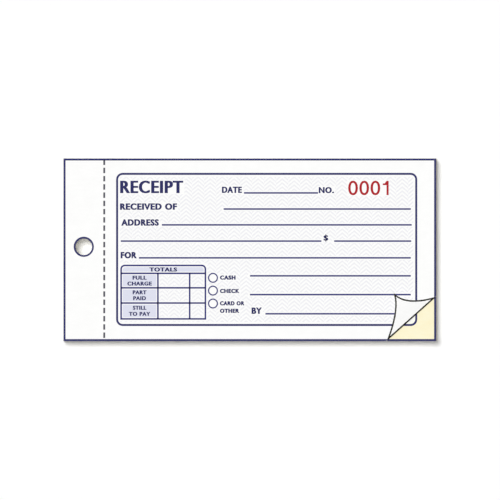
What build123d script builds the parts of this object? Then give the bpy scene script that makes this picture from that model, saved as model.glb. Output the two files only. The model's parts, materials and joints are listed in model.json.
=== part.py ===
"""Duplicate receipt book: two-part forms glued at their stubs, on a card with a wrap-round cover.

The book lies on its back. +X runs from the bound stub to the fore edge, +Y to the head of the
forms and +Z up through the sheets. The origin is at the bottom centre of the whole book.
"""
import os
from math import cos, hypot, radians, sin, tan

from build123d import *

# One sheet, in millimetres: a form that tears off a stub
form_length = 127.0
sheet_height = 69.85
stub_width = 15.5
paper = 0.1

# Sets of one white original over one canary duplicate
turning_sets = 5
resting_sets = 45

# Row of slits between stub and form
slit_length = 2.1
slit_width = 0.4
tie_length = 1.05
slits_above_middle = 0.41

# Punched hole through the stubs and the back card
hole_radius = 3.175
hole_above_middle = 1.15

# Curled lower fore-edge corner of the top original: where its fold meets the two edges,
# how tight the fold is and how far it turns the sheet
curl_along_foot = 19.0
curl_along_fore_edge = 17.0
fold_radius = 0.25
fold_turn = 166.0

# Outline of the flap past the fold, seen from above and measured from the sheet's corner:
# its tip, and the points that its two edges bend towards on their way to the tip
tip_from_fore_edge = 16.5
tip_above_foot = 18.7
foot_edge_pull_in = 14.1
foot_edge_pull_up = 13.0
fore_edge_pull_in = 11.95
fore_edge_pull_up = 13.65
tip_width = 0.4
fold_steps = 6
flap_steps = 8

# Glue film on the spine and the card of the cover
glue_film = 0.3
card = 0.4
cover_clearance = 0.2
cover_slack = 1.0
flap_setback = 5.0

# Heights
flap_top = card
back_top = flap_top + card
set_thickness = 2 * paper
block_thickness = (turning_sets + resting_sets) * set_thickness
block_top = back_top + block_thickness

# Places along the book, from the glued spine to the cover's fold round the fore edge
cover_overhang = card + cover_clearance
book_length = glue_film + stub_width + form_length + cover_overhang
spine_x = -book_length / 2
stub_x = spine_x + glue_film
perforation_x = stub_x + stub_width
fore_x = perforation_x + form_length
fold_x = fore_x + cover_overhang
hole_x = stub_x + stub_width / 2
foot_y = -sheet_height / 2

# The cover strip reaches from the back card past the top sheet
strip_width = card + block_thickness + cover_slack
flap_length = form_length + cover_overhang - strip_width - flap_setback

# As many slits as the sheet has room for, spaced evenly
slit_pitch = slit_length + tie_length
slit_room = sheet_height - 2 * slits_above_middle
slit_count = 1 + int((slit_room - slit_length) / slit_pitch)


def slab(left: float, length: float, bottom: float, thickness: float) -> Part:
    """A cut piece of full height that starts at x = left and lies at z = bottom."""
    corner = (Align.MIN, Align.CENTER, Align.MIN)
    return Pos(left, 0, bottom) * Box(length, sheet_height, thickness, align=corner)


def rectangle(left: float, length: float) -> Sketch:
    """The flat outline of a piece of full height that starts at x = left."""
    return Pos(left, 0) * Rectangle(length, sheet_height, align=(Align.MIN, Align.CENTER))


def slits() -> list:
    """The row of slits along the perforation; half of each lies in the stub, half in the form."""
    row = Pos(perforation_x, slits_above_middle)
    places = GridLocations(slit_width, slit_pitch, 1, slit_count)
    return [row * place * Rectangle(slit_width, slit_length) for place in places]


def hole() -> Sketch:
    """The round hole punched through the middle of the stub."""
    return Pos(hole_x, hole_above_middle) * Circle(hole_radius)


def stub(bottom: float, thickness: float) -> Part:
    """A bound stub: a strip with the punched hole and the comb left by the slits."""
    outline = rectangle(stub_x, stub_width) - slits() - hole()
    return Pos(0, 0, bottom) * extrude(outline, thickness)


def form(bottom: float) -> Part:
    """A flat form with the comb of ties and half slits on its inner edge."""
    outline = rectangle(perforation_x, form_length) - slits()
    return Pos(0, 0, bottom) * extrude(outline, paper)


def curled_corner(bottom: float) -> tuple[Part, Sketch]:
    """The corner turned up and over, and the flat triangle that it takes from the form.

    The sheet turns tightly round a slanted fold and runs on as a rising flap, between two edges
    that bend together to the tip. Sections across the bent sheet are thin rectangles from edge
    to edge, and a ruled loft joins them.
    """
    # Axes of the fold: along it, towards the fore edge, and square to it, into the form
    slant = hypot(curl_along_foot, curl_along_fore_edge)
    along = Vector(curl_along_foot, curl_along_fore_edge) / slant
    inward = Vector(-along.Y, along.X)
    upward = Vector(0, 0, 1)

    # The fold's outer line meets the edges at the two given distances from the corner
    corner = Vector(fore_x, foot_y)
    outer_depth = curl_along_foot * curl_along_fore_edge / slant
    depth = outer_depth + fold_radius + paper
    growth = depth / outer_depth
    foot_end = corner - Vector(curl_along_foot * growth, 0)
    fore_end = corner + Vector(0, curl_along_fore_edge * growth)

    def section(left: Vector, right: Vector, heading: Vector) -> Face:
        """Section of the bent sheet from edge to edge, square to the way that the sheet heads."""
        across = (right - left).normalized()
        plane = Plane((left + right) / 2, x_dir=across, z_dir=heading - across * across.dot(heading))
        return (plane * Rectangle((right - left).length, paper)).face()

    def folded(turn: float) -> list[Vector]:
        """Places of the sheet's two edges where the fold has turned it so far."""
        used = tight * turn
        lift = inward * (used - tight * sin(turn)) + upward * (fold_centre - tight * cos(turn))
        return [end + (corner - end) * (used / depth) + lift for end in (foot_end, fore_end)]

    # Tight fold
    tight = fold_radius + paper / 2
    fold_centre = bottom + paper + fold_radius
    turned = radians(fold_turn)
    sections = []
    for step in range(fold_steps + 1):
        turn = turned * step / fold_steps
        sections.append(section(*folded(turn), upward * sin(turn) - inward * cos(turn)))

    # Flap: its edges bend in plan, and it rises as steeply as the fold leaves it and levels off
    starts = folded(turned)
    level = upward * starts[0].Z
    foot_edge_pull = corner + level + Vector(-foot_edge_pull_in, foot_edge_pull_up)
    fore_edge_pull = corner + level + Vector(-fore_edge_pull_in, fore_edge_pull_up)
    tip = corner + level + Vector(-tip_from_fore_edge, tip_above_foot)
    pulls = [foot_edge_pull, fore_edge_pull]
    leaving = sum((pull - start).dot(inward) for start, pull in zip(starts, pulls))
    rise = -leaving * tan(turned) / 2
    closing = 2 * (fore_edge_pull - foot_edge_pull).length
    for step in range(1, flap_steps + 1):
        way = (1 - tip_width / closing) * step / flap_steps
        lift = upward * (rise * way * (2 - way))
        heading = upward * (rise * (2 - 2 * way))
        sides = []
        for start, pull in zip(starts, pulls):
            sides.append(start * (1 - way) ** 2 + pull * (2 * way * (1 - way)) + tip * way**2 + lift)
            heading += (pull - start) * (1 - way) + (tip - pull) * way
        sections.append(section(*sides, heading))
    triangle = make_face(Polyline(foot_end, corner, fore_end, close=True))
    return loft(sections, ruled=True), triangle


def curled_form(bottom: float) -> Part:
    """The top form: flat, with its lower fore-edge corner turned up and over."""
    curl, triangle = curled_corner(bottom)
    outline = rectangle(perforation_x, form_length) - slits() - triangle
    return Pos(0, 0, bottom) * extrude(outline, paper) + curl


def back_card() -> Part:
    """The card under the block, from the glue to the room that the folded strip needs, with the hole."""
    outline = rectangle(stub_x, fold_x - card - stub_x) - hole()
    return Pos(0, 0, flap_top) * extrude(outline, card)


def save(shape: Part | Compound, node: str) -> None:
    """Writes one piece of the book under its own name."""
    export_step(shape, os.path.join("parts", node + ".step"))


os.makedirs("parts", exist_ok=True)

# Card cover: back, fore-edge strip and flap, the last two folded away under the back
strip_x = fold_x - strip_width
save(back_card(), "back_cover")
save(slab(strip_x, strip_width, 0, card), "cover_fore_edge")
save(slab(strip_x - flap_length, flap_length, 0, card), "cover_flap")

# Glue film over the spine, from the back card to the top sheet
save(slab(spine_x, glue_film, flap_top, block_top - flap_top), "spine_glue")

# Sets that lie still: one padded block of stubs, and their forms sheet by sheet
resting_thickness = resting_sets * set_thickness
save(stub(back_top, resting_thickness), "bound_stubs")
duplicates = []
originals = []
for number in range(resting_sets):
    bottom = back_top + number * set_thickness
    duplicates.append(slab(perforation_x, form_length, bottom, paper))
    originals.append(slab(perforation_x, form_length, bottom + paper, paper))
save(Compound(children=duplicates), "resting_duplicates")
save(Compound(children=originals), "resting_originals")

# Sets whose forms turn over one by one, numbered from the top
for number in range(1, turning_sets + 1):
    bottom = block_top - number * set_thickness
    save(stub(bottom, paper), f"duplicate_stub_{number}")
    save(stub(bottom + paper, paper), f"original_stub_{number}")
    save(form(bottom), f"duplicate_form_{number}")
    upper = curled_form(bottom + paper) if number == 1 else form(bottom + paper)
    save(upper, f"original_form_{number}")
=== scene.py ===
"""Looks of a duplicate receipt book: its papers, print, glue and cover card, in a plain studio."""
import json
import logging
import math
import random
from dataclasses import dataclass
from enum import Enum, auto
from typing import Optional, Sequence

import bmesh
import bpy
from mathutils import Matrix, Vector, noise


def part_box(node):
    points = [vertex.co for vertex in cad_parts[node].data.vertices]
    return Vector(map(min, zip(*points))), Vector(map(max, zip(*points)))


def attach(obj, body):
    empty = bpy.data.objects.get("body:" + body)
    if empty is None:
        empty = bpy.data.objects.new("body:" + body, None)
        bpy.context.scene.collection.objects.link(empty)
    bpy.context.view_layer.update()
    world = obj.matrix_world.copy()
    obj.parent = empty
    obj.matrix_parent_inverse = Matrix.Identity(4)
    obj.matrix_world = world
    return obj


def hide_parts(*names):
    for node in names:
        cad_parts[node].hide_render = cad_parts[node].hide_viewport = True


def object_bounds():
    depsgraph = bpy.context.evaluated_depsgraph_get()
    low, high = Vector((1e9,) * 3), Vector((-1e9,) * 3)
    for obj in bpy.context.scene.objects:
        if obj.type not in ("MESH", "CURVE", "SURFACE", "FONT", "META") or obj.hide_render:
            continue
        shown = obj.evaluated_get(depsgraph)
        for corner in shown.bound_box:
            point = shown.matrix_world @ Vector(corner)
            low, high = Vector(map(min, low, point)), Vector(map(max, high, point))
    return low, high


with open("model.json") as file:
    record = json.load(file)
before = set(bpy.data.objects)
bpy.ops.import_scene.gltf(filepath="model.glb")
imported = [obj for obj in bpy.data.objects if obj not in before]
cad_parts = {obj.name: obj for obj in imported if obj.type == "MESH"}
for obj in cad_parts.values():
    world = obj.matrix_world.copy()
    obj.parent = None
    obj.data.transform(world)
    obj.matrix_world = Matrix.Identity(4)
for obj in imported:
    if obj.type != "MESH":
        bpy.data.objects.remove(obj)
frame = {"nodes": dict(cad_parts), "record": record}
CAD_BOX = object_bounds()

MM = 0.001
LOG = logging.getLogger("receipt_book")
ROOT_BODY = "book_block"
TOP_FORM = "original_form_1"

# Straight pieces in a printed circle, in a round corner of a panel and in a curve of a letter
ROUND_STEPS = 48
CORNER_STEPS = 6
TYPE_STEPS = 4

# Distances in millimetres within which corners are one, and a corner lies on a cut
WELD_MM = 1e-3
CUT_MM = 1e-5
# Shortest length that something is divided by, and how steeply a level face looks up or down
TINY = 1e-6
LEVEL = 0.5

# Letter space for each share of weight, and the share of the type size below which an edge is dropped
TRACKING = 2.2
FLAT_TYPE = 1e-4

Colour = tuple[float, float, float, float]
Pattern = tuple[bpy.types.NodeSocket, bpy.types.NodeSocket]


def linear(code: str) -> Colour:
    """Turns an sRGB colour into linear light.

    Args:
        code: Colour as "#RRGGBB".

    Returns:
        Linear red, green and blue, and an alpha of 1.
    """
    levels = [int(code[at:at + 2], 16) / 255 for at in (1, 3, 5)]
    red, green, blue = (c / 12.92 if c <= 0.04045 else ((c + 0.055) / 1.055) ** 2.4 for c in levels)
    return red, green, blue, 1.0


def add_node(tree: bpy.types.NodeTree, kind: str, inputs: Optional[dict] = None, **settings) -> bpy.types.Node:
    """Adds one shader node with its settings, and sets or links its inputs.

    Args:
        tree: Node tree that takes the node.
        kind: Blender's name of the node's type.
        inputs: Socket name or number to a plain value, or to the output that feeds it.
        settings: Properties of the node itself.

    Returns:
        The new node.
    """
    node = tree.nodes.new(kind)
    for name, value in settings.items():
        setattr(node, name, value)
    for socket, value in (inputs or {}).items():
        if isinstance(value, bpy.types.NodeSocket):
            tree.links.new(value, node.inputs[socket])
        else:
            node.inputs[socket].default_value = value
    return node


@dataclass(frozen=True)
class Finish:
    """A surface finish that becomes one material of the same name."""

    name: str

    def material(self) -> bpy.types.Material:
        """Makes the finish's material on its first use.

        Returns:
            The material.
        """
        made = bpy.data.materials.get(self.name)
        if made is None:
            made = bpy.data.materials.new(self.name)
            made.use_nodes = True
            made.node_tree.nodes.clear()
            self.lay(made.node_tree)
        return made

    def lay(self, tree: bpy.types.NodeTree) -> None:
        """Fills an empty node tree with the finish."""
        raise NotImplementedError


@dataclass(frozen=True)
class DullSkin(Finish):
    """A dull surface that wavers between two colours with its grain, which may stand up as a relief.

    The grain is a noise with a size of its own along each axis, in millimetres. Between its first and
    its last value the main colour gives way to the other one.
    """

    main: str
    other: str
    grain_mm: tuple[float, float, float] = (1.0, 1.0, 1.0)
    detail: float = 4.0
    harshness: float = 0.5
    first: float = 0.35
    last: float = 0.7
    roughness: float = 0.9
    ior: float = 1.45
    gloss: float = 0.15
    relief: float = 0.0
    relief_mm: float = 0.0

    def pattern(self, tree: bpy.types.NodeTree, place: bpy.types.NodeSocket) -> Pattern:
        """Lays the grain and mixes the two colours by it.

        Args:
            tree: Node tree that takes the nodes.
            place: Object coordinates.

        Returns:
            The colour, and the grain as a height.
        """
        scale = [1 / (size * MM) for size in self.grain_mm]
        sized = add_node(tree, "ShaderNodeMapping", {"Vector": place, "Scale": scale}).outputs[0]
        grain = add_node(tree, "ShaderNodeTexNoise", {"Vector": sized, "Scale": 1.0, "Detail": self.detail,
                                                      "Roughness": self.harshness}).outputs[0]
        share = add_node(tree, "ShaderNodeMapRange", {"Value": grain, "From Min": self.first, "From Max": self.last})
        colour = add_node(tree, "ShaderNodeMix", {0: share.outputs[0], 6: linear(self.main), 7: linear(self.other)},
                          data_type="RGBA")
        return colour.outputs[2], grain

    def lay(self, tree: bpy.types.NodeTree) -> None:
        """Colours the surface by its pattern, and lets the pattern stand up where it has a relief.

        Args:
            tree: Node tree that takes the nodes.
        """
        place = add_node(tree, "ShaderNodeTexCoord").outputs["Object"]
        colour, height = self.pattern(tree, place)
        inputs = {"Base Color": colour, "Roughness": self.roughness, "IOR": self.ior,
                  "Specular IOR Level": self.gloss}
        if self.relief:
            bump = add_node(tree, "ShaderNodeBump",
                            {"Height": height, "Strength": self.relief, "Distance": self.relief_mm * MM})
            inputs["Normal"] = bump.outputs[0]
        skin = add_node(tree, "ShaderNodeBsdfPrincipled", inputs)
        add_node(tree, "ShaderNodeOutputMaterial", {"Surface": skin.outputs[0]})


@dataclass(frozen=True)
class BondPaper(DullSkin):
    """Uncoated carbonless bond: matt, with faint clouds and fibres lying along the web."""

    first: float = 0.75
    last: float = 1.25
    relief: float = 0.5
    relief_mm: float = 0.012
    cloud_mm: float = 5.0
    fibre_mm: float = 0.8
    web_stretch: tuple[float, float, float] = (0.3, 1.0, 1.0)
    tooth_mm: float = 0.5

    def pattern(self, tree: bpy.types.NodeTree, place: bpy.types.NodeSocket) -> Pattern:
        """Mixes the dense and the thin colour by cloud and fibre, and adds the paper's tooth.

        Args:
            tree: Node tree that takes the nodes.
            place: Object coordinates.

        Returns:
            The colour and the height of the tooth.
        """
        web = add_node(tree, "ShaderNodeMapping", {"Vector": place, "Scale": self.web_stretch}).outputs[0]
        cloud = add_node(tree, "ShaderNodeTexNoise",
                         {"Vector": place, "Scale": 1 / (self.cloud_mm * MM), "Detail": 3.0})
        # Real fibres are thinner than a pixel of the render, so they are drawn about four times as wide
        fibre = add_node(tree, "ShaderNodeTexNoise",
                         {"Vector": web, "Scale": 1 / (self.fibre_mm * MM), "Detail": 5.0, "Roughness": 0.65})
        both = add_node(tree, "ShaderNodeMath", {0: cloud.outputs[0], 1: fibre.outputs[0]}, operation="ADD")
        share = add_node(tree, "ShaderNodeMapRange",
                         {"Value": both.outputs[0], "From Min": self.first, "From Max": self.last})
        colour = add_node(tree, "ShaderNodeMix", {0: share.outputs[0], 6: linear(self.main), 7: linear(self.other)},
                          data_type="RGBA")
        tooth = add_node(tree, "ShaderNodeTexNoise",
                         {"Vector": place, "Scale": 1 / (self.tooth_mm * MM), "Detail": 4.0, "Roughness": 0.6})
        return colour.outputs[2], tooth.outputs[0]


@dataclass(frozen=True)
class CutEdge(DullSkin):
    """Guillotined edge of a pile of sheets: long faint streaks, a little darker than the faces.

    Single sheets are thinner than a pixel, so a streak stands for four or five of them.
    """

    grain_mm: tuple[float, float, float] = (40.0, 40.0, 0.45)
    harshness: float = 0.7
    last: float = 0.75
    roughness: float = 0.95
    gloss: float = 0.1
    relief: float = 0.6
    relief_mm: float = 0.04


@dataclass(frozen=True)
class PressInk(DullSkin):
    """Offset ink on uncoated paper: matt, a little starved where the paper's tooth misses it; also the finish of
    painted shade.
    """

    grain_mm: tuple[float, float, float] = (0.6, 0.6, 0.6)
    detail: float = 3.0
    harshness: float = 0.6
    first: float = 0.4
    roughness: float = 0.6
    ior: float = 1.48


@dataclass(frozen=True)
class PaddingGlue(DullSkin):
    """White padding compound brushed over the spine: rubbery, half matt, with brush drag along it."""

    grain_mm: tuple[float, float, float] = (0.7, 5.83, 0.7)
    roughness: float = 0.45
    ior: float = 1.5
    gloss: float = 0.5
    relief: float = 0.6
    relief_mm: float = 0.08


@dataclass(frozen=True)
class CoverBoard(DullSkin):
    """Uncoated white cover card: calendered smooth, with a soft mottle and sparse grey flecks."""

    grain_mm: tuple[float, float, float] = (4.0, 4.0, 4.0)
    first: float = 0.0
    last: float = 1.0
    roughness: float = 0.75
    ior: float = 1.47
    gloss: float = 0.3
    relief: float = 0.3
    relief_mm: float = 0.02
    fleck: str = "#C9C4B8"
    fleck_mm: float = 1.1
    fleck_first: float = 0.64
    fleck_last: float = 0.72
    fleck_most: float = 0.7

    def pattern(self, tree: bpy.types.NodeTree, place: bpy.types.NodeSocket) -> Pattern:
        """Drops flecks on the mottle.

        Args:
            tree: Node tree that takes the nodes.
            place: Object coordinates.

        Returns:
            The colour and the height of the flecks.
        """
        mottle, _ = super().pattern(tree, place)
        specks = add_node(tree, "ShaderNodeTexNoise",
                          {"Vector": place, "Scale": 1 / (self.fleck_mm * MM), "Detail": 2.0}).outputs[0]
        share = add_node(tree, "ShaderNodeMapRange", {"Value": specks, "From Min": self.fleck_first,
                                                      "From Max": self.fleck_last, "To Max": self.fleck_most})
        colour = add_node(tree, "ShaderNodeMix", {0: share.outputs[0], 6: mottle, 7: linear(self.fleck)},
                          data_type="RGBA")
        return colour.outputs[2], specks


@dataclass(frozen=True)
class StudioSweep(Finish):
    """Plain white studio floor: takes the shadow, and reads as white paper where nothing shades it."""

    face: str = "#FAFAFA"
    lift: float = 0.05

    def lay(self, tree: bpy.types.NodeTree) -> None:
        """Adds a little light of its own to what the camera, a mirror or a glass sees.

        Args:
            tree: Node tree that takes the nodes.
        """
        seen = seen_share(tree)
        glow = add_node(tree, "ShaderNodeMath", {0: seen, 1: self.lift}, operation="MULTIPLY")
        light = add_node(tree, "ShaderNodeEmission", {"Color": linear("#FFFFFF"), "Strength": glow.outputs[0]})
        matt = add_node(tree, "ShaderNodeBsdfDiffuse", {"Color": linear(self.face)})
        both = add_node(tree, "ShaderNodeAddShader", {0: matt.outputs[0], 1: light.outputs[0]})
        add_node(tree, "ShaderNodeOutputMaterial", {"Surface": both.outputs[0]})


def seen_share(tree: bpy.types.NodeTree) -> bpy.types.NodeSocket:
    """Gives 1 to rays that show a background to the viewer, and 0 to rays that only light things.

    Args:
        tree: Node tree that takes the nodes.

    Returns:
        The output that holds the share.
    """
    path = add_node(tree, "ShaderNodeLightPath").outputs
    mirror = add_node(tree, "ShaderNodeMath", {0: path["Is Camera Ray"], 1: path["Is Glossy Ray"]},
                      operation="MAXIMUM")
    glass = add_node(tree, "ShaderNodeMath", {0: mirror.outputs[0], 1: path["Is Transmission Ray"]},
                     operation="MAXIMUM")
    return glass.outputs[0]


# Carbonless bond: two matt papers that only their colour tells apart
WHITE_BOND = BondPaper("white_carbonless_bond", "#FFFFFE", "#FCFCFB")
CANARY_BOND = BondPaper("canary_carbonless_bond", "#FEF8D8", "#FDF4CE")
# Guillotined paper: the faint streaks show from the side that the block is many sheets
WHITE_EDGE = CutEdge("white_cut_edge", "#FCFCFA", "#DEDCD6")
CANARY_EDGE = CutEdge("canary_cut_edge", "#FBF7E6", "#E2DDC8")
# Offset inks, and two painted shades with the same finish: matt colours that sink into the paper, from the heavy
# border to the pale tint
NAVY_INK = PressInk("navy_offset_ink", "#26285E", "#2E3066")
RULE_INK = PressInk("blue_rule_ink", "#292B6C", "#323476")
# Painted shade: grey dashes beside each perforation slit and on the sheet seen through it stand in for the shade
# inside the cuts
SLIT_SHADE_INK = PressInk("painted_slit_shade", "#55555F", "#5E5E69")
TYPE_INK = PressInk("blue_black_type_ink", "#191B54", "#21235A")
RED_INK = PressInk("red_numbering_ink", "#A60814", "#B01622")
TINT_INK = PressInk("pale_tint_ink", "#EEEEF1", "#F1F1F4")
SCREEN_INK = PressInk("lavender_screen_ink", "#DBDDEC", "#DFE1EF")
BLANK_INK = PressInk("opaque_white_ink", "#FCFCF3", "#FAFAEE")
# Painted shade: dark lines along the turned corner's two edges and a band along its fold stand in for the shade of
# the crease and of the lifted edges
CORNER_SHADE_INK = PressInk("painted_corner_shade", "#17160A", "#232217")
# Cover card: greyer and smoother than the paper, with short fine streaks on its darker cut edge
COVER_BOARD = CoverBoard("white_cover_card", "#EFEDE6", "#E4E1D8")
BOARD_EDGE = CutEdge("cover_card_cut_edge", "#EDEBE4", "#D8D4C8", grain_mm=(3.0, 3.0, 0.12))
# Padding compound: the only surface with a sheen, dragged by the brush
SPINE_COMPOUND = PaddingGlue("white_padding_compound", "#F3F1EC", "#E3E0D8")
# Studio paper: even white, so that only the book's shadow shows on it
STUDIO_FLOOR = StudioSweep("studio_sweep")


def settle(name: str, mesh: bmesh.types.BMesh, finishes: Sequence[Finish]) -> bpy.types.Object:
    """Turns a finished bmesh, in metres and in place, into an object.

    Args:
        name: Name of the object.
        mesh: Its bmesh, which is freed.
        finishes: Its finishes, in the order of its faces' material numbers.

    Returns:
        The new object.
    """
    data = bpy.data.meshes.new(name)
    mesh.to_mesh(data)
    mesh.free()
    for finish in finishes:
        data.materials.append(finish.material())
    made = bpy.data.objects.new(name, data)
    bpy.context.scene.collection.objects.link(made)
    return made


def publish(name: str, mesh: bmesh.types.BMesh, finishes: Sequence[Finish], body: str,
            node: Optional[str] = None, sharp: Optional[float] = None) -> None:
    """Makes a finished bmesh a piece that rides on a body.

    Args:
        name: Name of the piece.
        mesh: Its bmesh, which is freed.
        finishes: Its finishes, in the order of its faces' material numbers.
        body: Body that carries the piece.
        node: CAD node that the piece stands for, if any.
        sharp: Angle in degrees from which an edge stays sharp, if the piece is smooth elsewhere.
    """
    piece = settle(name, mesh, finishes)
    if sharp:
        piece.data.shade_smooth()
        piece.data.set_sharp_from_angle(angle=math.radians(sharp))
    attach(piece, body)
    if node:
        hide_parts(node)
    LOG.info("%s: %d faces on %s", name, len(piece.data.polygons), body)


def pour(source: bmesh.types.BMesh, target: bmesh.types.BMesh) -> None:
    """Adds a copy of one bmesh to another.

    Args:
        source: The bmesh to copy.
        target: The bmesh that takes the copy.
    """
    stored = bpy.data.meshes.new("poured")
    source.to_mesh(stored)
    target.from_mesh(stored)
    bpy.data.meshes.remove(stored)


def second_skin(mesh: bmesh.types.BMesh) -> list[bmesh.types.BMVert]:
    """Closes an open mesh with a copy of its faces.

    Args:
        mesh: The mesh.

    Returns:
        The copy's corners, which still lie on the first ones.
    """
    grown = bmesh.ops.extrude_face_region(mesh, geom=mesh.faces[:], use_keep_orig=True)["geom"]
    return [piece for piece in grown if isinstance(piece, bmesh.types.BMVert)]


def join_level(mesh: bmesh.types.BMesh, degrees: float = 0.5) -> None:
    """Joins neighbouring faces that lie within an angle of one plane."""
    bmesh.ops.dissolve_limit(mesh, angle_limit=math.radians(degrees), verts=mesh.verts[:], edges=mesh.edges[:])


def with_rims(faces: Sequence[bmesh.types.BMFace]) -> list:
    """Gathers faces with their corners and edges, as a cut takes them.

    Args:
        faces: The faces.

    Returns:
        The corners, the edges and the faces, each once.
    """
    verts = dict.fromkeys(vert for face in faces for vert in face.verts)
    edges = dict.fromkeys(edge for face in faces for edge in face.edges)
    return [*verts, *edges, *faces]


class Rounding(Enum):
    """Which corners of a printed panel are round."""

    TOP = auto()
    ALL = auto()


class Setting(Enum):
    """Where a line of type stands against its place."""

    FROM_LEFT = auto()
    CENTRED = auto()


@dataclass(frozen=True)
class Label:
    """One line of type: its words, place, capital height and width in millimetres.

    Its weight thickens all strokes and its stress only the upright ones, as shares of the type size.
    """

    words: str
    x: float
    baseline: float
    capital: float
    width: float
    weight: float = 0.035
    stress: float = 0.035
    setting: Setting = Setting.FROM_LEFT

    @property
    def left(self) -> float:
        """Where the type starts."""
        return self.x if self.setting is Setting.FROM_LEFT else self.x - self.width / 2


@dataclass(frozen=True)
class Area:
    """A rectangle of a form, in millimetres from its lower inner corner."""

    left: float
    bottom: float
    right: float
    top: float

    def grown(self, by: float) -> "Area":
        """Returns the area with each side moved out by a distance."""
        return Area(self.left - by, self.bottom - by, self.right + by, self.top + by)

    def holds(self, point: Vector) -> bool:
        """Says whether a point lies inside the area."""
        return self.left < point.x < self.right and self.bottom < point.y < self.top


class Film:
    """Flat ink shapes of one colour, drawn in millimetres from a form's lower inner corner."""

    def __init__(self) -> None:
        """Starts with nothing drawn."""
        self.mesh = bmesh.new()

    def bar(self, area: Area) -> list[bmesh.types.BMVert]:
        """Draws a filled rectangle.

        Args:
            area: The rectangle.

        Returns:
            Its four corners.
        """
        corners = bmesh.ops.create_grid(self.mesh, x_segments=1, y_segments=1, size=0.5)["verts"]
        middle = ((area.left + area.right) / 2, (area.bottom + area.top) / 2, 0)
        bmesh.ops.scale(self.mesh, vec=(area.right - area.left, area.top - area.bottom, 1), verts=corners)
        bmesh.ops.translate(self.mesh, vec=middle, verts=corners)
        return corners

    def rule(self, left: float, right: float, y: float, line: float) -> None:
        """Draws a level writing line about the height y."""
        self.bar(Area(left, y - line / 2, right, y + line / 2))

    def upright(self, x: float, bottom: float, top: float, line: float) -> None:
        """Draws an upright line about the place x."""
        self.bar(Area(x - line / 2, bottom, x + line / 2, top))

    def panel(self, area: Area, radius: float, rounding: Rounding) -> bmesh.types.BMFace:
        """Draws a filled rectangle with round corners.

        Args:
            area: The rectangle.
            radius: Radius of its round corners.
            rounding: Which corners are round.

        Returns:
            Its face.
        """
        corners = self.bar(area)
        middle = (area.bottom + area.top) / 2
        turned = [vert for vert in corners if rounding is Rounding.ALL or vert.co.y > middle]
        made = bmesh.ops.bevel(self.mesh, geom=turned, offset=radius, offset_type="OFFSET", affect="VERTICES",
                               segments=CORNER_STEPS, profile=0.5, material=-1)
        return made["verts"][0].link_faces[0]

    def outline(self, area: Area, line: float, radius: float, rounding: Rounding) -> None:
        """Draws a frame whose line lies about a rectangle's sides."""
        self.hollow(self.panel(area.grown(line / 2), radius + line / 2, rounding), line)

    def ring(self, x: float, y: float, radius: float, line: float) -> None:
        """Draws a circle.

        Args:
            x: Middle of the circle, along the form.
            y: Middle of the circle, up the form.
            radius: Radius of the middle of its line.
            line: Width of its line.
        """
        made = bmesh.ops.create_circle(self.mesh, cap_ends=True, segments=ROUND_STEPS, radius=radius + line / 2)
        bmesh.ops.translate(self.mesh, vec=(x, y, 0), verts=made["verts"])
        self.hollow(made["verts"][0].link_faces[0], line)

    def hollow(self, face: bmesh.types.BMFace, line: float) -> None:
        """Leaves only a line along the inside of a filled shape's edge."""
        bmesh.ops.inset_individual(self.mesh, faces=[face], thickness=line, use_even_offset=True)
        bmesh.ops.delete(self.mesh, geom=[face], context="FACES")

    def words(self, label: Label) -> None:
        """Sets one line of type, fitted to its capital height and width.

        Args:
            label: The line of type.
        """
        stem, _ = set_type("H", label.weight, label.stress)
        letters, span = set_type(label.words, label.weight, label.stress)
        low = min(v.co.y for v in stem.vertices)
        tall = max(v.co.y for v in stem.vertices) - low
        fit = (Matrix.Translation((label.left, label.baseline, 0))
               @ Matrix.Diagonal((label.width / (span[1] - span[0]), label.capital / tall, 1, 1))
               @ Matrix.Translation((-span[0], -low, 0)))
        letters.transform(fit)
        self.mesh.from_mesh(letters)
        bpy.data.meshes.remove(stem)
        bpy.data.meshes.remove(letters)

    def patch(self, corners: Sequence[tuple[float, float]]) -> None:
        """Draws a filled shape with straight sides between its corners."""
        self.mesh.faces.new([self.mesh.verts.new((*corner, 0)) for corner in corners])

    def chevrons(self, area: Area, column: float, spacing: float, rise: float, line: float) -> None:
        """Covers an area with columns of chevrons, where every second column sits half a step lower.

        Args:
            area: The area to cover.
            column: Width of a column.
            spacing: Distance from chevron to chevron, up the column.
            rise: Height of a chevron's point over its feet.
            line: Height of its line.
        """
        base = area.bottom - rise - spacing
        for number, low in enumerate((base, base + spacing / 2)):
            point = area.left + (number + 0.5) * column
            for foot in (point - column / 2, point + column / 2):
                self.patch(((foot, low), (point, low + rise), (point, low + rise + line), (foot, low + line)))
        self.repeat((0, spacing), math.ceil((area.top - base) / spacing))
        self.repeat((2 * column, 0), math.ceil((area.right - area.left) / column / 2))
        self.weld()
        self.trim(area)

    def repeat(self, step: tuple[float, float], times: int) -> None:
        """Copies all that has been drawn, one step further each time.

        Args:
            step: The way from copy to copy.
            times: Number of copies.
        """
        every = self.mesh.verts[:] + self.mesh.edges[:] + self.mesh.faces[:]
        bmesh.ops.spin(self.mesh, geom=every, cent=(0, 0, 0), axis=(0, 0, 1), dvec=(*step, 0), angle=0, steps=times,
                       use_duplicate=True)

    def weld(self) -> None:
        """Makes one corner of corners that lie on each other."""
        bmesh.ops.remove_doubles(self.mesh, verts=self.mesh.verts[:], dist=WELD_MM)

    def trim(self, area: Area) -> None:
        """Cuts away what reaches out of an area.

        Args:
            area: The area.
        """
        for place, away in (((area.left, 0), (-1, 0)), ((area.right, 0), (1, 0)),
                            ((0, area.bottom), (0, -1)), ((0, area.top), (0, 1))):
            self.cut(Vector(place), Vector(away))

    def cut(self, place: Vector, away: Vector) -> None:
        """Cuts away what lies past a line.

        Args:
            place: A point of the line.
            away: The way, square to the line, to the side that goes.
        """
        every = self.mesh.verts[:] + self.mesh.edges[:] + self.mesh.faces[:]
        bmesh.ops.bisect_plane(self.mesh, geom=every, dist=CUT_MM, plane_co=(*place, 0), plane_no=(*away, 0),
                               clear_outer=True)

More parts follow.
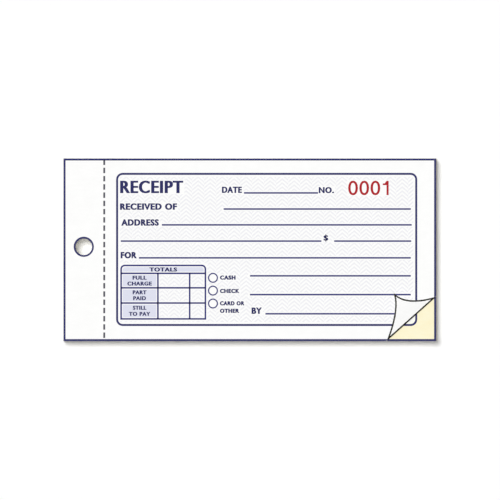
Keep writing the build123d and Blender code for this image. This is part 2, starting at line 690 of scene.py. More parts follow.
    def clear(self, area: Area) -> None:
        """Leaves a rectangle of bare paper in what has been drawn.

        Args:
            area: The rectangle.
        """
        for place, away in (((area.left, 0, 0), (1, 0, 0)), ((area.right, 0, 0), (1, 0, 0)),
                            ((0, area.bottom, 0), (0, 1, 0)), ((0, area.top, 0), (0, 1, 0))):
            near = [face for face in self.mesh.faces if reaches(face, area)]
            bmesh.ops.bisect_plane(self.mesh, geom=with_rims(near), dist=CUT_MM, plane_co=place, plane_no=away)
        gone = [face for face in self.mesh.faces if area.holds(face.calc_center_median())]
        bmesh.ops.delete(self.mesh, geom=gone, context="FACES")


def reaches(face: bmesh.types.BMFace, area: Area) -> bool:
    """Says whether the box round a flat face reaches into an area.

    Args:
        face: The face.
        area: The area.

    Returns:
        True if the two overlap.
    """
    across = [vert.co.x for vert in face.verts]
    upward = [vert.co.y for vert in face.verts]
    return (min(across) < area.right and max(across) > area.left
            and min(upward) < area.top and max(upward) > area.bottom)


def set_type(words: str, weight: float, stress: float) -> tuple[bpy.types.Mesh, tuple[float, float]]:
    """Sets words in the built-in typeface as a flat mesh.

    Args:
        words: The words.
        weight: How far each stroke's edge is moved out, as a share of the type size; heavy letters
            also stand further apart.
        stress: How far the sides of upright strokes are moved out besides.

    Returns:
        The mesh, and the places where it starts and ends.
    """
    curve = bpy.data.curves.new("type", "FONT")
    curve.body = words
    curve.offset = weight
    curve.space_character = 1 + TRACKING * (weight + stress)
    curve.resolution_u = TYPE_STEPS
    holder = bpy.data.objects.new("type", curve)
    bpy.context.scene.collection.objects.link(holder)
    shaped = holder.evaluated_get(bpy.context.evaluated_depsgraph_get())
    letters = bpy.data.meshes.new_from_object(shaped)
    bpy.data.objects.remove(holder)
    bpy.data.curves.remove(curve)
    flat = bmesh.new()
    flat.from_mesh(letters)
    swell(flat, stress)
    flat.to_mesh(letters)
    flat.free()
    across = [v.co.x for v in letters.vertices]
    return letters, (min(across), max(across))


def swell(flat: bmesh.types.BMesh, by: float) -> None:
    """Moves the left and right sides of a flat shape outwards and leaves its level sides alone.

    A sliver that turns over on the way lies on its neighbours, so it goes. So do faces without area,
    of which the built-in T has two on each other.

    Args:
        flat: The shape, whose faces look up.
        by: How far an upright side moves.
    """
    aside = {}
    for vert in flat.verts:
        slant = 0.0
        for edge in vert.link_edges:
            if edge.is_boundary:
                loop = edge.link_loops[0]
                run = loop.link_loop_next.vert.co - loop.vert.co
                slant += run.y / max(run.length, TINY)
        aside[vert] = by * min(max(slant, -1.0), 1.0)
    for vert, move in aside.items():
        vert.co.x += move
    flat.normal_update()
    turned = [face for face in flat.faces if face.normal.z < 0]
    bmesh.ops.delete(flat, geom=turned, context="FACES")
    for _ in range(2):
        bmesh.ops.dissolve_degenerate(flat, dist=FLAT_TYPE, edges=flat.edges[:])
    join_level(flat)


@dataclass
class CornerCurl:
    """The lower fore-edge corner of the top form, turned up and over, in the form's millimetres.

    The sheet turns tightly round a slanted fold and runs on as a ruled flap, between two edges that
    swing together to the tip. Places of the tip and of the edges' pulls are given from the corner.
    """

    paper: float
    corner: Vector
    along_foot: float = 19.0
    along_fore_edge: float = 17.0
    fold_radius: float = 0.25
    fold_turn: float = 166.0
    tip_place: tuple[float, float] = (-16.5, 18.7)
    foot_edge_pull: tuple[float, float] = (-14.1, 13.0)
    fore_edge_pull: tuple[float, float] = (-11.95, 13.65)
    fold_steps: int = 14
    flap_steps: int = 20
    look_ahead: float = 0.01
    least_slant: float = 0.2
    last_way: float = 0.999

    def __post_init__(self) -> None:
        """Works out the fold's axes, the ends of the fold and the swing of the flap's edges."""
        slant = math.hypot(self.along_foot, self.along_fore_edge)
        self.along = Vector((self.along_foot, self.along_fore_edge)) / slant
        self.inward = Vector((-self.along.y, self.along.x))
        outer = self.along_foot * self.along_fore_edge / slant
        self.depth = outer + self.fold_radius + self.paper
        growth = self.depth / outer
        self.foot_end = self.corner - Vector((self.along_foot * growth, 0))
        self.fore_end = self.corner + Vector((0, self.along_fore_edge * growth))
        self.tight = self.fold_radius + self.paper / 2
        self.turned = math.radians(self.fold_turn)
        self.fold_length = self.tight * self.turned
        self.tip = self.corner + Vector(self.tip_place)
        _, into, self.flap_start = self.fold(self.fold_length)
        self.flap_edges = []
        for end, pull in ((self.foot_end, self.foot_edge_pull), (self.fore_end, self.fore_edge_pull)):
            flat = end.lerp(self.corner, self.fold_length / self.depth)
            start = flat + self.inward * (self.fold_length + into)
            self.flap_edges.append((start, self.corner + Vector(pull)))
        leaving = sum((pull - start).dot(self.inward) for start, pull in self.flap_edges)
        self.flap_rise = -leaving * math.tan(self.turned) / 2

    def past(self, point: Vector) -> float:
        """Returns how far a flat point lies past the start of the fold."""
        return -(point.xy - self.foot_end).dot(self.inward)

    def fold(self, used: float) -> tuple[float, float, float]:
        """Follows the sheet's middle round the tight fold.

        Args:
            used: Length of sheet since the start of the fold.

        Returns:
            How far it has turned, how far it lies into the form, and its height over the sheet's back.
        """
        turn = used / self.tight
        return turn, -self.tight * math.sin(turn), self.paper + self.fold_radius - self.tight * math.cos(turn)

    def flap(self, point: Vector, used: float, rise: float) -> Vector:
        """Places a point of the flap.

        Args:
            point: The point on the flat sheet.
            used: How far it lies past the start of the fold.
            rise: Its height over the sheet's middle.

        Returns:
            Its place on the ruled flap.
        """
        left = self.foot_end.lerp(self.corner, used / self.depth)
        right = self.fore_end.lerp(self.corner, used / self.depth)
        width = max((right - left).length, TINY)
        across = min(max((point.xy - left).dot(self.along) / width, 0.0), 1.0)
        way = min((used - self.fold_length) / (self.depth - self.fold_length), self.last_way)
        height = self.flap_start + self.flap_rise * (2 * way - way * way)
        climb = self.flap_rise * (2 - 2 * way)
        sides = []
        headings = []
        for start, pull in self.flap_edges:
            flat = start * (1 - way) ** 2 + pull * 2 * way * (1 - way) + self.tip * way ** 2
            heading = (pull - start) * 2 * (1 - way) + (self.tip - pull) * 2 * way
            sides.append(Vector((*flat, height)))
            headings.append(Vector((*heading, climb)))
        printed_side = headings[0].lerp(headings[1], across).cross(sides[1] - sides[0]).normalized()
        return sides[0].lerp(sides[1], across) + printed_side * rise

    def edge_band(self, used: float, line: float) -> list[tuple[Vector, Vector]]:
        """Finds where a line of one width on the bent sheet lies on the flat one.

        Args:
            used: How far the line's place lies past the start of the fold.
            line: Width of the line on the bent sheet.

        Returns:
            The line's outer and inner points on the flat sheet, at the foot edge and at the fore edge.
        """
        flat, bent = self.edges(used)
        _, ahead = self.edges(used + self.look_ahead)
        ruling = bent[1] - bent[0]
        points = []
        for side in (0, 1):
            slant = max(math.sin(ruling.angle(ahead[side] - bent[side])), self.least_slant)
            share = min(line / max(ruling.length * slant, TINY), 0.5)
            points.append((flat[side], flat[side].lerp(flat[1 - side], share)))
        return points

    def edges(self, used: float) -> tuple[list[Vector], list[Vector]]:
        """Follows the sheet's foot edge and fore edge.

        Args:
            used: How far the place lies past the start of the fold.

        Returns:
            The two edges' points on the flat sheet, and on the bent one.
        """
        flat = [end.lerp(self.corner, used / self.depth) for end in (self.foot_end, self.fore_end)]
        if used > self.fold_length:
            return flat, [self.flap(end, used, 0.0) for end in flat]
        _, into, up = self.fold(used)
        return flat, [Vector((*(end + self.inward * (used + into)), up)) for end in flat]

    def stations(self) -> list[float]:
        """Spaces the creases at which the sheet bends.

        Returns:
            How far each lies past the start of the fold.
        """
        fold = [self.fold_length * step / self.fold_steps for step in range(self.fold_steps + 1)]
        rest = self.depth - self.fold_length
        return fold + [self.fold_length + rest * step / self.flap_steps for step in range(1, self.flap_steps)]

    def bend(self, mesh: bmesh.types.BMesh) -> None:
        """Creases a flat mesh that lies on the sheet, then turns its corner up and over.

        Args:
            mesh: The mesh, in the form's millimetres, with height measured from the sheet's back.
        """
        normal = Vector((*self.inward, 0))
        for used in self.stations():
            near = [face for face in mesh.faces if max(self.past(v.co) for v in face.verts) > used]
            place = Vector((*(self.foot_end - self.inward * used), 0))
            bmesh.ops.bisect_plane(mesh, geom=with_rims(near), dist=CUT_MM, plane_co=place, plane_no=normal)
        for vert in mesh.verts:
            used = self.past(vert.co)
            rise = vert.co.z - self.paper / 2
            if used > self.fold_length:
                vert.co = self.flap(vert.co, used, rise)
            elif used > 0:
                turn, into, up = self.fold(used)
                flat = vert.co.xy + self.inward * (used + into + rise * math.sin(turn))
                vert.co = Vector((*flat, up + rise * math.cos(turn)))


@dataclass
class FormPrint:
    """What is printed on a form, in millimetres from its lower inner corner."""

    length: float
    height: float
    border: float = 0.78
    frame_area: Area = Area(5.0, 6.17, 119.38, 63.96)
    frame_line: float = 0.78
    frame_radius: float = 2.1
    rule_line: float = 0.61
    table_line: float = 0.62
    table_radius: float = 1.4
    table: Area = Area(6.53, 8.50, 38.76, 28.94)
    table_rows: tuple[float, ...] = (25.92, 20.38, 14.57)
    table_columns: tuple[float, ...] = (20.60, 32.75)
    screen_margin: float = 0.62
    box_x: float = 41.65
    box_rows: tuple[float, ...] = (24.20, 19.31, 14.38)
    box_radius: float = 1.68
    box_line: float = 0.48
    number_x: float = 95.22
    number_pitch: float = 4.27
    number_baseline: float = 55.85
    number_height: float = 5.45
    figure_width: float = 3.73
    figure_weight: float = 0.006
    figure_stress: float = 0.002
    figure_stem: float = 0.8
    flag_half_line: float = 0.32
    flag_length: float = 1.45
    flag_drop: float = 1.32
    tint_column: float = 4.59
    tint_spacing: float = 1.53
    tint_rise: float = 1.95
    tint_line: float = 0.72
    dollar_x: float = 84.83
    dollar_foot: float = 38.05
    dollar_head: float = 40.85
    dollar_line: float = 0.32
    clear_band: float = 0.75
    type_band: float = 0.4
    screen_band: float = 0.8
    table_weight: float = 0.03
    box_weight: float = 0.048
    line_ink: float = 0.016
    flat_ink: float = 0.008

    def __post_init__(self) -> None:
        """Draws the films that all forms share."""
        self.rules = (
            (53.50, 81.83, 56.67), (45.73, 117.31, 50.52), (22.11, 117.66, 44.45), (6.38, 83.13, 38.26),
            (87.99, 117.47, 38.26), (13.31, 117.31, 31.84), (55.80, 117.31, 24.96), (55.80, 117.31, 17.78),
            (61.70, 117.31, 10.45),
        )
        self.labels = (
            Label("RECEIPT", 6.15, 56.59, 4.74, 24.15, 0.012, 0.042),
            Label("DATE", 45.08, 56.67, 2.40, 7.65),
            Label("NO.", 82.10, 56.60, 2.30, 5.86),
            Label("RECEIVED OF", 6.11, 50.22, 2.45, 21.8),
            Label("ADDRESS", 6.57, 44.14, 2.45, 14.39),
            Label("S", 83.90, 38.45, 2.00, 1.87),
            Label("FOR", 6.34, 31.65, 2.45, 6.20, 0.042),
            Label("BY", 56.41, 10.41, 2.45, 3.98),
        )
        table_words = (
            ("TOTALS", 22.65, 26.60, 1.57, 10.6), ("FULL", 13.6, 23.50, 1.50, 5.4),
            ("CHARGE", 13.6, 21.25, 1.50, 9.4), ("PART", 13.6, 17.90, 1.50, 5.3),
            ("PAID", 13.6, 15.66, 1.50, 4.9), ("STILL", 13.6, 12.00, 1.50, 5.2),
            ("TO PAY", 13.6, 9.67, 1.50, 8.2),
        )
        box_words = (
            ("CASH", 44.31, 23.51, 1.60, 6.0), ("CHECK", 44.31, 18.38, 1.60, 7.5),
            ("CARD OR", 44.31, 13.66, 1.60, 9.4), ("OTHER", 44.31, 10.79, 1.60, 7.4),
        )
        self.labels += tuple(Label(*place, self.table_weight, setting=Setting.CENTRED) for place in table_words)
        self.labels += tuple(Label(*place, self.box_weight) for place in box_words)
        self.lines = self.draw_lines()
        self.rulings = self.draw_rulings()
        self.type = self.draw_type()
        self.tint = self.draw_tint()
        self.screen = self.draw_screen()
        self.blank = Film()
        self.blank.panel(self.frame_area, self.frame_radius, Rounding.ALL)

    def draw_lines(self) -> Film:
        """Draws the border and the frame.

        Returns:
            The navy film.
        """
        film = Film()
        film.bar(Area(0, 0, self.length - self.border, self.border))
        film.bar(Area(0, self.height - self.border, self.length - self.border, self.height))
        film.bar(Area(self.length - self.border, 0, self.length, self.height))
        film.outline(self.frame_area, self.frame_line, self.frame_radius, Rounding.ALL)
        return film

    def draw_rulings(self) -> Film:
        """Draws the writing lines, the table and the boxes.

        Returns:
            The blue film.
        """
        film = Film()
        for left, right, y in self.rules:
            film.rule(left, right, y, self.rule_line)
        film.outline(self.table, self.table_line, self.table_radius, Rounding.TOP)
        for y in self.table_rows:
            film.rule(self.table.left, self.table.right, y, self.table_line)
        for x in self.table_columns:
            film.upright(x, self.table.bottom, self.table_rows[0], self.table_line)
        for y in self.box_rows:
            film.ring(self.box_x, y, self.box_radius, self.box_line)
        return film

    def draw_type(self) -> Film:
        """Sets the title and the labels.

        Returns:
            The type's film.
        """
        film = Film()
        for label in self.labels:
            film.words(label)
        film.upright(self.dollar_x, self.dollar_foot, self.dollar_head, self.dollar_line)
        return film

    def draw_tint(self) -> Film:
        """Draws the pale chevrons inside the frame, knocked out round everything else.

        Returns:
            The tint's film.
        """
        film = Film()
        inside = self.frame_area.grown(-self.frame_line / 2 - self.clear_band)
        film.chevrons(inside, self.tint_column, self.tint_spacing, self.tint_rise, self.tint_line)
        for left, right, y in self.rules:
            film.clear(Area(left, y, right, y).grown(self.clear_band))
        for label in self.labels:
            top = label.baseline + label.capital
            film.clear(Area(label.left, label.baseline, label.left + label.width, top).grown(self.type_band))
        number_left = self.number_x - self.figure_width / 2
        number_right = self.number_x + 3 * self.number_pitch
        number_top = self.number_baseline + self.number_height
        screened = (Area(self.table.left, self.table.bottom, self.table_columns[0], self.table.top),
                    Area(self.table.left, self.table_rows[0], self.table.right, self.table.top))
        film.clear(Area(number_left, self.number_baseline, number_right, number_top).grown(self.type_band))
        for area in screened:
            film.clear(area.grown(self.screen_band))
        for y in (*self.table_rows[1:], self.table.bottom):
            film.clear(Area(self.table.left, y, self.table.right, y).grown(self.clear_band))
        for x in (*self.table_columns, self.table.right):
            film.clear(Area(x, self.table.bottom, x, self.table.top).grown(self.clear_band))
        for y in self.box_rows:
            film.clear(Area(self.box_x, y, self.box_x, y).grown(self.box_radius))
        join_level(film.mesh)
        return film

    def draw_screen(self) -> Film:
        """Fills the head and the first column of the table.

        Returns:
            The lavender film.
        """
        film = Film()
        head = Area(self.table.left, self.table_rows[0], self.table.right, self.table.top)
        film.panel(head.grown(-self.screen_margin), self.table_radius - self.screen_margin / 2, Rounding.TOP)
        tops = self.table_rows
        bottoms = (*self.table_rows[1:], self.table.bottom)
        for top, bottom in zip(tops, bottoms):
            film.bar(Area(self.table.left, bottom, self.table_columns[0], top).grown(-self.screen_margin))
        return film

    def draw_number(self, number: int) -> Film:
        """Sets the serial number of one set, with its figures in even cells.

        Args:
            number: Number of the set.

        Returns:
            The red film.
        """
        film = Film()
        for place, figure in enumerate(f"{number:04d}"):
            middle = self.number_x + place * self.number_pitch
            if figure == "1":
                self.draw_one(film, middle)
            else:
                film.words(Label(figure, middle, self.number_baseline, self.number_height, self.figure_width,
                                 self.figure_weight, self.figure_stress, Setting.CENTRED))
        return film

    def draw_one(self, film: Film, middle: float) -> None:
        """Draws a figure 1 with a flag, because the built-in one is a bare stem.

        Args:
            film: The film that takes the figure.
            middle: Middle of the figure's cell.
        """
        stem = middle + self.figure_stem / 2
        top = self.number_baseline + self.number_height
        flag = top - self.flag_drop
        thin = self.flag_half_line
        edge = stem - self.figure_stem / 2
        film.upright(stem, self.number_baseline, top, self.figure_stem)
        film.bar(Area(edge - self.flag_length, flag - thin, edge, flag + thin))
        film.patch(((edge - self.flag_length / 2, flag + thin), (edge, flag + thin), (edge, top)))

    def comb(self, slits: Sequence[float], length: float, near: float, far: float) -> Film:
        """Draws a dash along each slit: painted shade of the perforation's cut.

        Args:
            slits: Heights of the slits' middles.
            length: Length of a slit.
            near: Where the dashes start, across the perforation.
            far: Where they end.

        Returns:
            The dashes' film.
        """
        film = Film()
        for y in slits:
            film.bar(Area(near, y - length / 2, far, y + length / 2))
        return film


def layered(layers: Sequence[tuple[Film, float]], base: float) -> bmesh.types.BMesh:
    """Makes flat films into one mesh of thin closed layers, with a material number for each film.

    Args:
        layers: The films and their thicknesses, in millimetres.
        base: Height of the face that they lie on.

    Returns:
        The mesh, in millimetres.
    """
    whole = bmesh.new()
    for number, (film, thickness) in enumerate(layers):
        part = film.mesh.copy()
        part.normal_update()
        bmesh.ops.reverse_faces(part, faces=[face for face in part.faces if face.normal.z < 0])
        bmesh.ops.translate(part, vec=(0, 0, thickness), verts=second_skin(part))
        bmesh.ops.translate(part, vec=(0, 0, base), verts=part.verts[:])
        for face in part.faces:
            face.material_index = number
            face.smooth = False
        pour(part, whole)
        part.free()
    return whole


class Ply(Enum):
    """The two parts of a set."""

    ORIGINAL = "original"
    DUPLICATE = "duplicate"

    @property
    def slot(self) -> str:
        """The record's material slot of its paper."""
        return "white_paper" if self is Ply.ORIGINAL else "canary_paper"

    @property
    def finishes(self) -> list[Finish]:
        """The finishes of its faces and of its cut edges."""
        return [WHITE_BOND, WHITE_EDGE] if self is Ply.ORIGINAL else [CANARY_BOND, CANARY_EDGE]


@dataclass
class TurningForms:
    """The forms of the upper sets, which turn one by one, with their print and the top form's curl."""

    sets: int = 5
    slit_length: float = 2.1
    slit_width: float = 0.4
    slit_pitch: float = 3.15
    slits_above_middle: float = 0.41
    slit_count: int = 22
    form_lip: float = 0.24
    stub_lip: float = 0.08
    edge_line: float = 0.58
    ink_room: float = 0.017
    fold_shade_start: float = 0.17
    fold_shade_width: float = 0.98
    sharp_angle: float = 30.0

    def __post_init__(self) -> None:
        """Reads the forms' corner and thickness from the frame, and prepares the shared print."""
        low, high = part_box("duplicate_form_1")
        self.corner = Vector((low.x, low.y))
        self.paper = (high.z - low.z) / MM
        self.bare = self.paper - self.ink_room
        self.size = (high - low) / MM
        self.print = FormPrint(length=self.size.x, height=self.size.y)
        self.curl = CornerCurl(paper=self.paper, corner=Vector((self.size.x, 0.0)))
        middle = self.size.y / 2 + self.slits_above_middle
        self.slits = [middle + self.slit_pitch * (n - (self.slit_count - 1) / 2) for n in range(self.slit_count)]

    def seat(self, bottom: float) -> Matrix:
        """Returns the move from a form's millimetres to the book, for a sheet whose back is at a height."""
        return Matrix.Translation((*self.corner, bottom)) @ Matrix.Diagonal((MM, MM, MM, 1))

    def sheet(self, node: str) -> bmesh.types.BMesh:
        """Copies a CAD sheet and lowers its top face, so that the ink lies inside the sheet's thickness.

        Args:
            node: Name of the sheet's CAD node.

        Returns:
            The copy, in metres and in place, with its cut edges numbered apart.
        """
        low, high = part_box(node)
        mesh = cad_mesh(node)
        upper = [vert for vert in mesh.verts if vert.co.z > (low.z + high.z) / 2]
        bmesh.ops.translate(mesh, vec=(0, 0, -self.ink_room * MM), verts=upper)
        part_faces(mesh, 0, 1)
        return mesh

    def build(self) -> None:
        """Dresses every turning form."""
        for number in range(1, self.sets + 1):
            for ply in Ply:
                self.dress(ply, number)
        self.curl_top_form()

    def dress(self, ply: Ply, number: int) -> None:
        """Gives one form its paper and its print.

        Args:
            ply: Original or duplicate.
            number: Number of the set, from the top.
        """
        body = f"{ply.value}_form_{number}"
        mesh, inks = self.impression(number, ply)
        if body == TOP_FORM:
            self.curl.bend(mesh)
        else:
            publish(f"{ply.value}_sheet_{number}", self.sheet(body), ply.finishes, body, body)
        mesh.transform(self.seat(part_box(body)[0].z))
        publish(f"{ply.value}_print_and_slit_shade_{number}", mesh, inks, body)

    def impression(self, number: int, ply: Ply) -> tuple[bmesh.types.BMesh, list[Finish]]:
        """Prints one form, with the painted shade of its perforation slits.

        Args:
            number: Number of the set.
            ply: Original or duplicate.

        Returns:
            The print on the sheet's top face, in the form's millimetres, and its inks.
        """
        form = self.print
        # The dashes are painted shade of the perforation slits
        dashes = form.comb(self.slits, self.slit_length, self.slit_width / 2, self.slit_width / 2 + self.form_lip)
        layers = [(form.lines, form.line_ink), (dashes, form.line_ink), (form.rulings, form.line_ink),
                  (form.type, form.line_ink), (form.draw_number(number), form.line_ink),
                  (form.tint, form.flat_ink), (form.screen, form.flat_ink)]
        inks = [NAVY_INK, SLIT_SHADE_INK, RULE_INK, TYPE_INK, RED_INK, TINT_INK, SCREEN_INK]
        if ply is Ply.DUPLICATE:
            layers.append((form.blank, form.flat_ink / 2))
            inks.append(BLANK_INK)
        return layered(layers, self.bare), inks

    def curl_top_form(self) -> None:
        """Builds the top original as a smooth bent sheet, with painted shade along its turned corner: dark lines on
        its two edges and its fold.
        """
        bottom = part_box(TOP_FORM)[0].z
        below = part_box("duplicate_form_1")[0].z
        mesh = self.sheet("duplicate_form_1")
        mesh.transform(self.seat(below).inverted())
        self.curl.bend(mesh)
        mesh.transform(self.seat(bottom))
        publish("curled_original_form", mesh, Ply.ORIGINAL.finishes, TOP_FORM, TOP_FORM,
                self.sharp_angle)
        layer = layered([(self.corner_lines(), self.print.line_ink)], -self.print.line_ink)
        self.curl.bend(layer)
        layer.transform(self.seat(bottom))
        publish("curled_corner_painted_shade", layer, [CORNER_SHADE_INK], TOP_FORM)

    def corner_lines(self) -> Film:
        """Draws the painted shade on the back of the turned corner: dark lines along its two edges and a band along
        its fold.

        Returns:
            The lines' film, on the flat sheet.
        """
        curl = self.curl
        film = Film()
        lines = [curl.edge_band(used, self.edge_line) for used in curl.stations() if used > self.fold_shade_start]
        for before, after in zip(lines, lines[1:]):
            for side in (0, 1):
                outer, inner = before[side]
                far_outer, far_inner = after[side]
                film.patch((outer, inner, far_inner, far_outer))
        film.weld()
        # The band along the fold is painted shade of the crease
        fold_shade_end = self.fold_shade_start + self.fold_shade_width
        film.cut(curl.foot_end - curl.inward * fold_shade_end, curl.inward)
        band = Film()
        band.bar(Area(curl.foot_end.x, 0, curl.corner.x, curl.fore_end.y))
        band.cut(curl.foot_end - curl.inward * self.fold_shade_start, curl.inward)
        band.cut(curl.foot_end - curl.inward * fold_shade_end, -curl.inward)
        pour(band.mesh, film.mesh)
        return film


def cad_mesh(node: str) -> bmesh.types.BMesh:
    """Returns a clean copy of a CAD node's mesh, with its flat faces whole.

    Args:
        node: Name of the node.

    Returns:
        The copy, in metres and in place.
    """
    mesh = bmesh.new()
    mesh.from_mesh(frame["nodes"][node].data)
    bmesh.ops.remove_doubles(mesh, verts=mesh.verts[:], dist=WELD_MM * MM)
    join_level(mesh, 1.0)
    return mesh


def part_faces(mesh: bmesh.types.BMesh, level: int, upright: int, start: int = 0) -> None:
    """Gives level faces one material number and upright ones another.

    Args:
        mesh: The mesh.
        level: Number for faces that look up or down.
        upright: Number for the rest.
        start: First face to number.
    """
    mesh.normal_update()
    mesh.faces.ensure_lookup_table()
    for face in mesh.faces[start:]:
        face.material_index = level if abs(face.normal.z) > LEVEL else upright


@dataclass
class RestingStack:
    """The lower sets' forms: a trimmed pile whose sheets lie a little out of line."""

    creep: float = 0.08
    seed: int = 7

    def build(self, forms: TurningForms) -> None:
        """Piles both plies sheet by sheet and prints the sheet on top.

        Args:
            forms: The turning forms above the pile.
        """
        shuffle = random.Random(self.seed)
        for ply in Ply:
            self.pile(ply, forms, shuffle)
        mesh, inks = forms.impression(forms.sets + 1, Ply.ORIGINAL)
        mesh.transform(forms.seat(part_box("resting_originals")[1].z - forms.paper * MM))
        publish("resting_print_and_slit_shade", mesh, inks, ROOT_BODY)

    def pile(self, ply: Ply, forms: TurningForms, shuffle: random.Random) -> None:
        """Lays the sheets of one ply, each moved a little to the fore edge and along it.

        Args:
            ply: Original or duplicate.
            forms: The turning forms above the pile.
            shuffle: Source of the sheets' places.
        """
        node = f"resting_{ply.value}s"
        low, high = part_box(node)
        size = Vector((high.x - low.x, high.y - low.y, forms.paper * MM))
        mesh = bmesh.new()
        sheet = []
        for number in range(round((high.z - low.z) / size.z / 2 + 0.5)):
            sheet = bmesh.ops.create_cube(mesh, size=1)["verts"]
            aside = Vector((shuffle.uniform(0, self.creep), shuffle.uniform(-0.5, 0.5) * self.creep, 0)) * MM
            under = Vector((0, 0, 2 * number * size.z))
            bmesh.ops.scale(mesh, vec=size, verts=sheet)
            bmesh.ops.translate(mesh, vec=low + size / 2 + under + aside, verts=sheet)
        middle = max(vert.co.z for vert in sheet) - size.z / 2
        upper = [vert for vert in sheet if vert.co.z > middle]
        bmesh.ops.translate(mesh, vec=(0, 0, -forms.ink_room * MM), verts=upper)
        part_faces(mesh, 0, 1)
        publish(f"{ply.value}_pile", mesh, ply.finishes, ROOT_BODY, node)


@dataclass
class Stubs:
    """The bound strip: the turning sets' stubs, the padded pile below them and the print on top."""

    ring_line: float = 0.69
    creep: float = 0.05
    seed: int = 11

    def build(self, forms: TurningForms) -> None:
        """Builds the stubs and prints the top one.

        Args:
            forms: The forms that tear off the stubs.
        """
        for number in range(1, forms.sets + 1):
            for ply in Ply:
                node = f"{ply.value}_stub_{number}"
                name = f"{ply.value}_stub_sheet_{number}"
                publish(name, forms.sheet(node), ply.finishes, ROOT_BODY, node)
        self.pile(forms.paper)
        self.dress(forms)

    def dress(self, forms: TurningForms) -> None:
        """Prints the top stub, with painted slit shade: dashes beside the slits, and dashes on the sheet seen through
        them.

        Args:
            forms: The forms that tear off the stubs.
        """
        low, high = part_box("original_stub_1")
        left = (low.x - high.x) / MM
        form = forms.print
        inner = left + form.border
        film = Film()
        film.bar(Area(left, 0, inner, form.height))
        film.bar(Area(inner, 0, 0, form.border))
        film.bar(Area(inner, form.height - form.border, 0, form.height))
        hole = next(mount for mount in frame["record"]["mounts"] if mount["name"] == "stub_hole")
        x, y = ((at - start) / MM for at, start in zip(hole["pos_m"], forms.corner))
        film.ring(x, y, hole["dims"]["r_mm"] + self.ring_line / 2, self.ring_line)
        half = forms.slit_width / 2
        dashes = form.comb(forms.slits, forms.slit_length, -half - forms.stub_lip, -half)
        mesh = layered([(film, form.line_ink), (dashes, form.line_ink)], forms.bare)
        mesh.transform(forms.seat(low.z))
        publish("stub_print_and_slit_shade", mesh, [NAVY_INK, SLIT_SHADE_INK], ROOT_BODY)
        # Painted shade: dashes on the sheet below, where the slits show only shade
        seen = form.comb(forms.slits, forms.slit_length, -half, half)
        floor = layered([(seen, form.line_ink)], forms.bare)
        floor.transform(forms.seat(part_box("resting_originals")[1].z - forms.paper * MM))
        publish("slit_painted_shade", floor, [SLIT_SHADE_INK], ROOT_BODY)

    def pile(self, paper: float) -> None:
        """Builds the padded stubs of the lower sets sheet by sheet, canary and white in turn.

        Args:
            paper: Thickness of a sheet.
        """
        low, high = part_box("bound_stubs")
        shuffle = random.Random(self.seed)
        one = cad_mesh("original_stub_1")
        bmesh.ops.translate(one, vec=(0, 0, low.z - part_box("original_stub_1")[0].z), verts=one.verts[:])
        mesh = bmesh.new()
        for number in range(round((high.z - low.z) / (paper * MM))):
            verts, faces = len(mesh.verts), len(mesh.faces)
            pour(one, mesh)
            mesh.verts.ensure_lookup_table()
            aside = Vector((0, shuffle.uniform(-0.5, 0.5) * self.creep, number * paper)) * MM
            bmesh.ops.translate(mesh, vec=aside, verts=mesh.verts[verts:])
            part_faces(mesh, 0 if number % 2 else 2, 1 if number % 2 else 3, faces)
        one.free()
        finishes = [*Ply.ORIGINAL.finishes, *Ply.DUPLICATE.finishes]
        publish("stub_pile", mesh, finishes, ROOT_BODY, "bound_stubs")


@dataclass
class SpineGlue:
    """Padding compound brushed over the stubs' edges: a thin film with an uneven skin."""

    dip: float = 0.1
    ripple: float = 2.5
    brush_share: float = 0.4
    along: int = 120
    up: int = 24
    sharp_angle: float = 40.0

    def build(self) -> None:
        """Builds the film from a fine grid and lets its outer face wander inwards."""
        low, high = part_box("spine_glue")
        mesh = bmesh.new()
        grid = bmesh.ops.create_grid(mesh, x_segments=self.along, y_segments=self.up, size=0.5)["verts"]
        bmesh.ops.rotate(mesh, cent=(0, 0, 0), matrix=Matrix(((0, 0, 1), (1, 0, 0), (0, 1, 0))), verts=grid)
        bmesh.ops.scale(mesh, vec=(1, high.y - low.y, high.z - low.z), verts=grid)
        bmesh.ops.translate(mesh, vec=(high.x, (low.y + high.y) / 2, (low.z + high.z) / 2), verts=grid)
        for vert in second_skin(mesh):
            place = Vector((0, vert.co.y * self.brush_share, vert.co.z)) / (self.ripple * MM)
            depth = 0.5 + 0.5 * noise.noise(place)
            vert.co.x = low.x + self.dip * MM * min(max(depth, 0.0), 1.0)
        bmesh.ops.recalc_face_normals(mesh, faces=mesh.faces[:])
        publish("spine_film", mesh, [SPINE_COMPOUND], ROOT_BODY, "spine_glue", self.sharp_angle)


@dataclass
class WrapCover:
    """Card of the back and of the wrap-round cover, with eased edges and pressed score lines."""

    ease: float = 0.07
    ease_steps: int = 2

    def build(self) -> None:
        """Builds the three panels in place of their CAD nodes."""
        self.panel("back_cover", "back_panel", ROOT_BODY)
        self.panel("cover_fore_edge", "fore_edge_panel", "cover_fore_edge")
        self.panel("cover_flap", "flap_panel", "cover_flap")

    def panel(self, node: str, name: str, body: str) -> None:
        """Softens one panel; the eased edges of two panels make the score between them.

        Args:
            node: Name of its CAD node.
            name: Name of the new piece.
            body: Body that carries it.
        """
        mesh = cad_mesh(node)
        part_faces(mesh, 0, 1)
        rims = [edge for edge in mesh.edges if len({face.material_index for face in edge.link_faces}) == 2]
        bmesh.ops.bevel(mesh, geom=rims, offset=self.ease * MM, offset_type="OFFSET", affect="EDGES",
                        segments=self.ease_steps, profile=0.5, material=-1)
        publish(name, mesh, [COVER_BOARD, BOARD_EDGE], body, node)


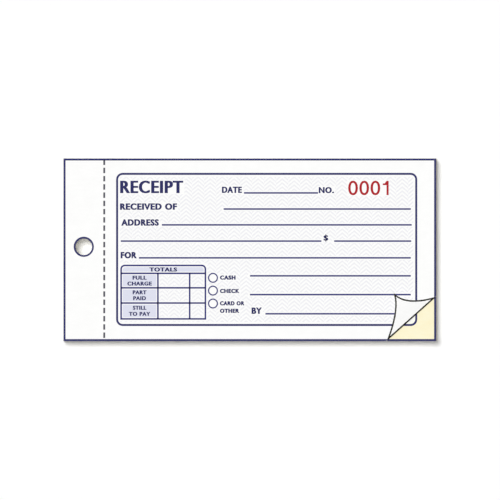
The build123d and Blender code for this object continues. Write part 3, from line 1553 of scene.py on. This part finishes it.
@dataclass
class Studio:
    """Plain pale floor, soft light from the upper left and a camera straight above the book."""

    lens: float = 800.0
    sensor: float = 36.0
    view_mm: float = 191.2
    shift_mm: tuple[float, float] = (0.065, -0.08)
    lean_right: float = 0.152
    lean_down: float = 0.166
    key_share: float = 0.64
    key_angle: float = 14.0
    top_share: float = 0.26
    top_angle: float = 20.0
    floor_size: float = 6.0
    floor_gap_mm: float = 0.05
    nearest: float = 0.05
    furthest: float = 20.0

    def build(self) -> None:
        """Makes the floor, the lights and the camera."""
        bpy.context.scene.view_settings.view_transform = "Standard"
        self.floor()
        self.lights()
        self.camera()

    def floor(self) -> None:
        """Lays the floor just under the book."""
        mesh = bmesh.new()
        bmesh.ops.create_grid(mesh, x_segments=1, y_segments=1, size=self.floor_size / 2)
        bmesh.ops.translate(mesh, vec=(0, 0, CAD_BOX[0].z - self.floor_gap_mm * MM), verts=mesh.verts[:])
        settle("studio_floor", mesh, [STUDIO_FLOOR])

    def lights(self) -> None:
        """Hangs a broad key at the upper left and a soft top light, and fills the rest from a white dome."""
        self.hang("soft_key", Vector((self.lean_right, -self.lean_down, -1.0)), self.key_share, self.key_angle)
        self.hang("top_light", Vector((0.0, 0.0, -1.0)), self.top_share, self.top_angle)
        world = bpy.data.worlds.new("white_dome")
        bpy.context.scene.world = world
        world.use_nodes = True
        tree = world.node_tree
        tree.nodes.clear()
        fill = 1 - self.key_share - self.top_share
        seen = add_node(tree, "ShaderNodeMath", {0: seen_share(tree), 1: 1 - fill, 2: fill}, operation="MULTIPLY_ADD")
        dome = add_node(tree, "ShaderNodeBackground", {"Color": linear("#FFFFFF"), "Strength": seen.outputs[0]})
        add_node(tree, "ShaderNodeOutputWorld", {"Surface": dome.outputs[0]})

    def hang(self, name: str, travel: Vector, share: float, angle: float) -> None:
        """Hangs one far broad light.

        Args:
            name: Its name.
            travel: The way that its light travels.
            share: Its share of the light on a level sheet.
            angle: How broad it looks from the book, in degrees.
        """
        way = travel.normalized()
        light = bpy.data.lights.new(name, "SUN")
        light.energy = share * math.pi / -way.z
        light.angle = math.radians(angle)
        holder = bpy.data.objects.new(name, light)
        holder.rotation_mode = "QUATERNION"
        holder.rotation_quaternion = way.to_track_quat("-Z", "Y")
        bpy.context.scene.collection.objects.link(holder)

    def camera(self) -> None:
        """Hangs the camera over the middle of the sheets, with the head of the forms at the top."""
        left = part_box("original_stub_1")[0].x
        low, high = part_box("duplicate_form_1")
        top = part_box("original_stub_1")[1].z
        lens = bpy.data.cameras.new("overhead_camera")
        lens.lens = self.lens
        lens.sensor_width = self.sensor
        lens.clip_start = self.nearest
        lens.clip_end = self.furthest
        holder = bpy.data.objects.new("overhead_camera", lens)
        distance = self.view_mm * MM * self.lens / self.sensor
        across, up = (by * MM for by in self.shift_mm)
        holder.location = ((left + high.x) / 2 + across, (low.y + high.y) / 2 + up, top + distance)
        bpy.context.scene.collection.objects.link(holder)
        bpy.context.scene.camera = holder


def main() -> None:
    """Builds the book's looks and the studio round it."""
    logging.basicConfig(level=logging.INFO, format="%(message)s")
    forms = TurningForms()
    forms.build()
    RestingStack().build(forms)
    Stubs().build(forms)
    SpineGlue().build()
    WrapCover().build()
    Studio().build()
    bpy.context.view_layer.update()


if __name__ == "__main__":
    main()
